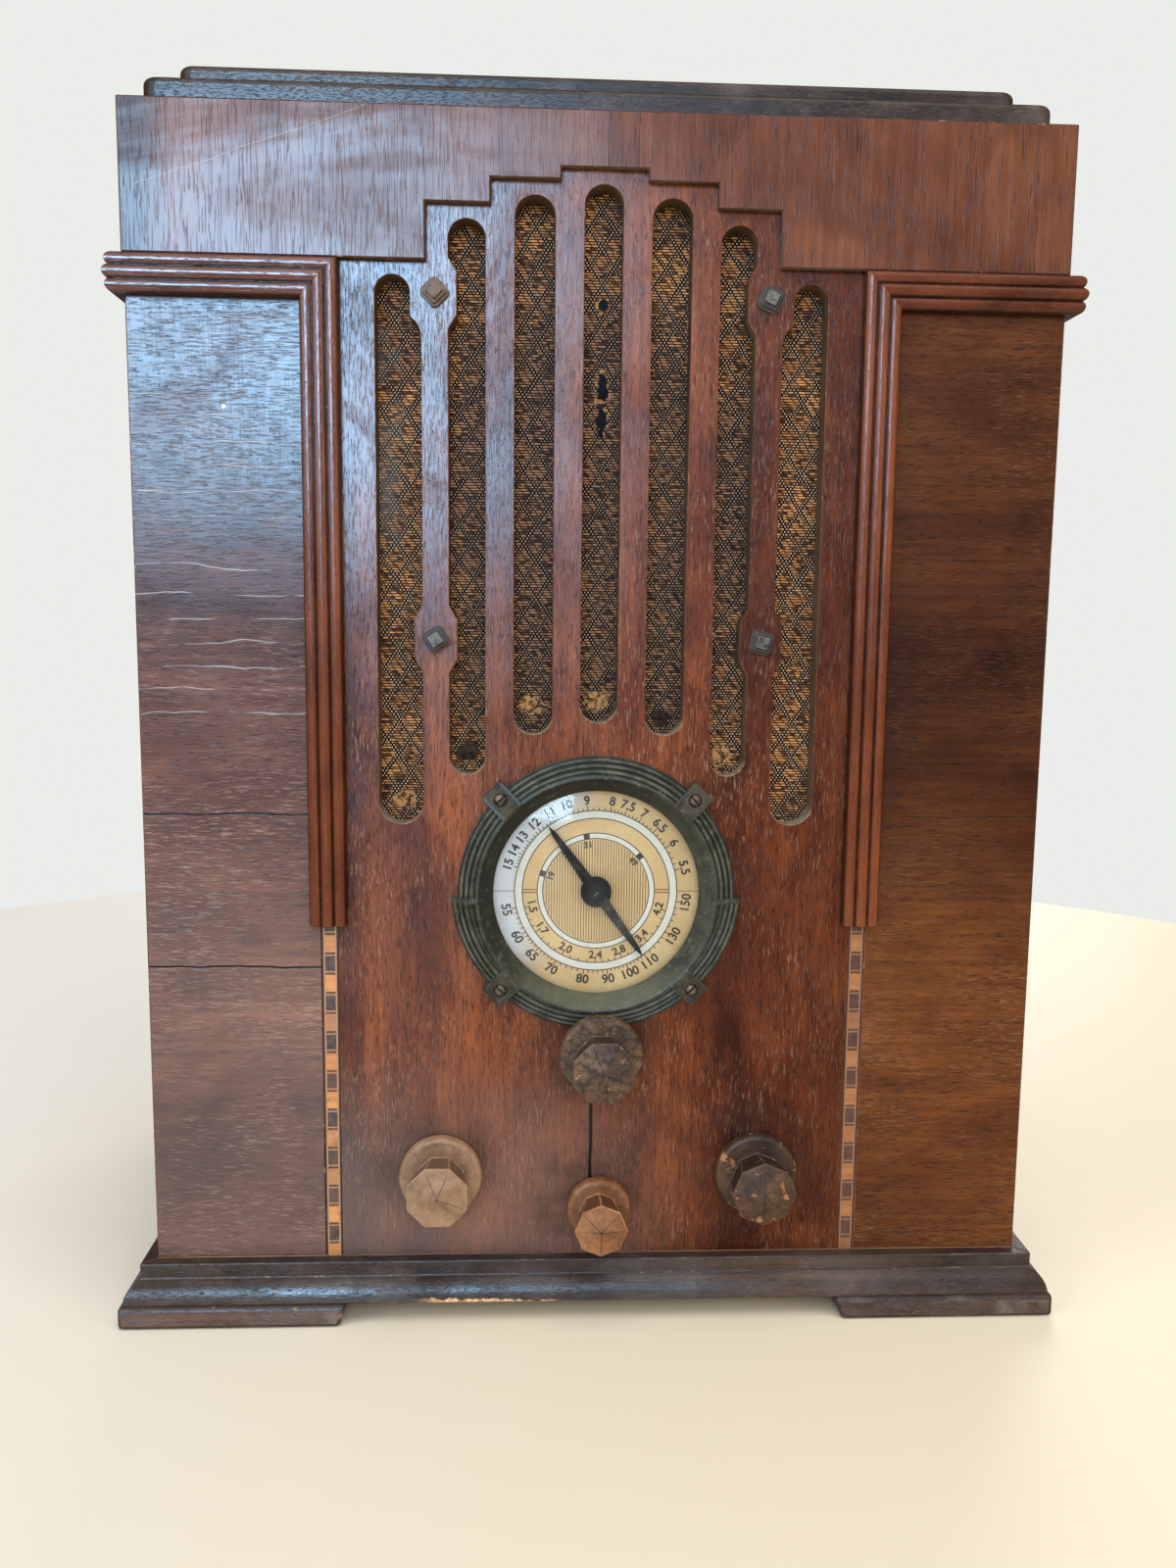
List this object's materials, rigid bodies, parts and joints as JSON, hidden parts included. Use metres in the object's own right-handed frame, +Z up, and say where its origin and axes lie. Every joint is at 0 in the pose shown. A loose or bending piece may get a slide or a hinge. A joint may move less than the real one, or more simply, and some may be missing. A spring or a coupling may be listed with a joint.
{
  "type": "tombstone radio",
  "caption": "Upright wooden table radio with slotted speaker grille, round pointer dial, turning wooden knobs and an open-backed cabinet holding a valve chassis.",
  "frame": {"origin": "on the table under the middle of the outer box", "axes": "+Z up, +X right as seen from the front, +Y from the front to the open back"},
  "size_m": [0.3692, 0.2834, 0.4732],
  "materials": {
    "front_veneer": "worn satin lacquer over upright-grain veneer",
    "stile_veneer": "worn satin lacquer over level-grain veneer",
    "side_wood": "worn satin lacquer",
    "dark_wood": "near-black stained lacquer with chips",
    "reed_wood": "glossy red-brown lacquer",
    "inlay_wood": "light and dark banding under lacquer",
    "inner_wood": "bare dusty wood",
    "grille_cloth": "woven, dark brown with gold thread",
    "basket_paint": "dull grey paint",
    "cone_paper": "pressed paper",
    "black_iron": "black paint",
    "bolt_bronze": "dark bronze, rusted",
    "bezel_metal": "dark green-grey patina",
    "dial_glass": "clear domed glass",
    "dial_card": "aged printed card",
    "plated_steel": "dull cadmium plate",
    "brass": "tarnished",
    "aluminium": "dull",
    "fibre_board": "pressed fibre",
    "pointer_black": "black enamel",
    "shaft_steel": "turned steel",
    "knob_dark": "dark worn lacquer",
    "knob_tan": "bare worn wood",
    "knob_orange": "orange lacquer, worn",
    "moulded_plastic": "brown moulded",
    "bulb_glass": "clear, silvered inside the dome",
    "rubber": "matt"
  },
  "bodies": {
    "cabinet": {"grille_panel": "front_veneer", "left_stile": "stile_veneer", "right_stile": "stile_veneer", "header_panel": "front_veneer", "left_side": "side_wood", "right_side": "side_wood", "top_board": "side_wood", "lower_top_step": "dark_wood", "upper_top_step": "dark_wood", "bottom_board": "inner_wood", "base_front_moulding": "dark_wood", "base_left_moulding": "dark_wood", "base_right_moulding": "dark_wood", "feet": "dark_wood", "cap_mouldings": "reed_wood", "cap_returns": "reed_wood", "post_mouldings": "reed_wood", "inlay_strips": "inlay_wood", "glue_blocks": "inner_wood", "grille_cloth": "grille_cloth", "speaker_baffle": "inner_wood", "speaker_basket": "basket_paint", "speaker_cone": "cone_paper", "field_coil": "black_iron", "output_transformer": "black_iron", "speaker_bolts": "bolt_bronze", "dial_bezel": "bezel_metal", "bezel_screws": "bolt_bronze", "dial_glass": "dial_glass", "dial_plate": "dial_card", "dial_pan": "plated_steel", "dial_lamps": "brass", "gang_stand": "plated_steel", "gang_frame": "plated_steel", "gang_stators": "aluminium", "potentiometers": "plated_steel", "band_switch": "moulded_plastic", "control_nuts": "brass", "chassis": "plated_steel", "chassis_bolts": "shaft_steel", "power_transformer": "black_iron", "filter_cans": "aluminium", "valve_sockets": "moulded_plastic", "valve_bases": "moulded_plastic", "valve_bulbs": "bulb_glass", "valve_shields": "aluminium", "coil_cans": "aluminium", "cord_grommet": "rubber", "rear_terminals": "moulded_plastic"},
    "dial_drive": {"gang_rotor": "aluminium", "drive_disc": "fibre_board", "dial_pointer": "pointer_black"},
    "tuning_control": {"tuning_shaft": "shaft_steel", "tuning_knob": "knob_dark"},
    "volume_control": {"volume_shaft": "shaft_steel", "volume_knob": "knob_tan"},
    "tone_control": {"tone_shaft": "shaft_steel", "tone_knob": "knob_dark"},
    "band_control": {"band_shaft": "shaft_steel", "band_knob": "knob_orange"}
  },
  "joints": [
    {"name": "pointer_turn", "type": "hinge", "parent": "cabinet", "child": "dial_drive", "pos_m": [0, -0.1, 0.1702], "axis": [0, -1, 0], "range_deg": [-121, 49]},
    {"name": "tuning_turn", "type": "hinge", "parent": "cabinet", "child": "tuning_control", "pos_m": [0.0022, -0.1, 0.1077], "axis": [0, -1, 0], "range_deg": [-237, 584]},
    {"name": "volume_turn", "type": "hinge", "parent": "cabinet", "child": "volume_control", "pos_m": [-0.0603, -0.1, 0.0572], "axis": [0, 1, 0], "range_deg": [-60, 240]},
    {"name": "tone_turn", "type": "hinge", "parent": "cabinet", "child": "tone_control", "pos_m": [0.0647, -0.1, 0.0572], "axis": [0, 1, 0], "range_deg": [-150, 150]},
    {"name": "band_turn", "type": "hinge", "parent": "cabinet", "child": "band_control", "pos_m": [0.0022, -0.1, 0.0432], "axis": [0, 1, 0], "range_deg": [0, 60]}
  ],
  "couplings": [
    {"joint": "tuning_turn", "follows": "pointer_turn", "ratio": -4.818}
  ]
}
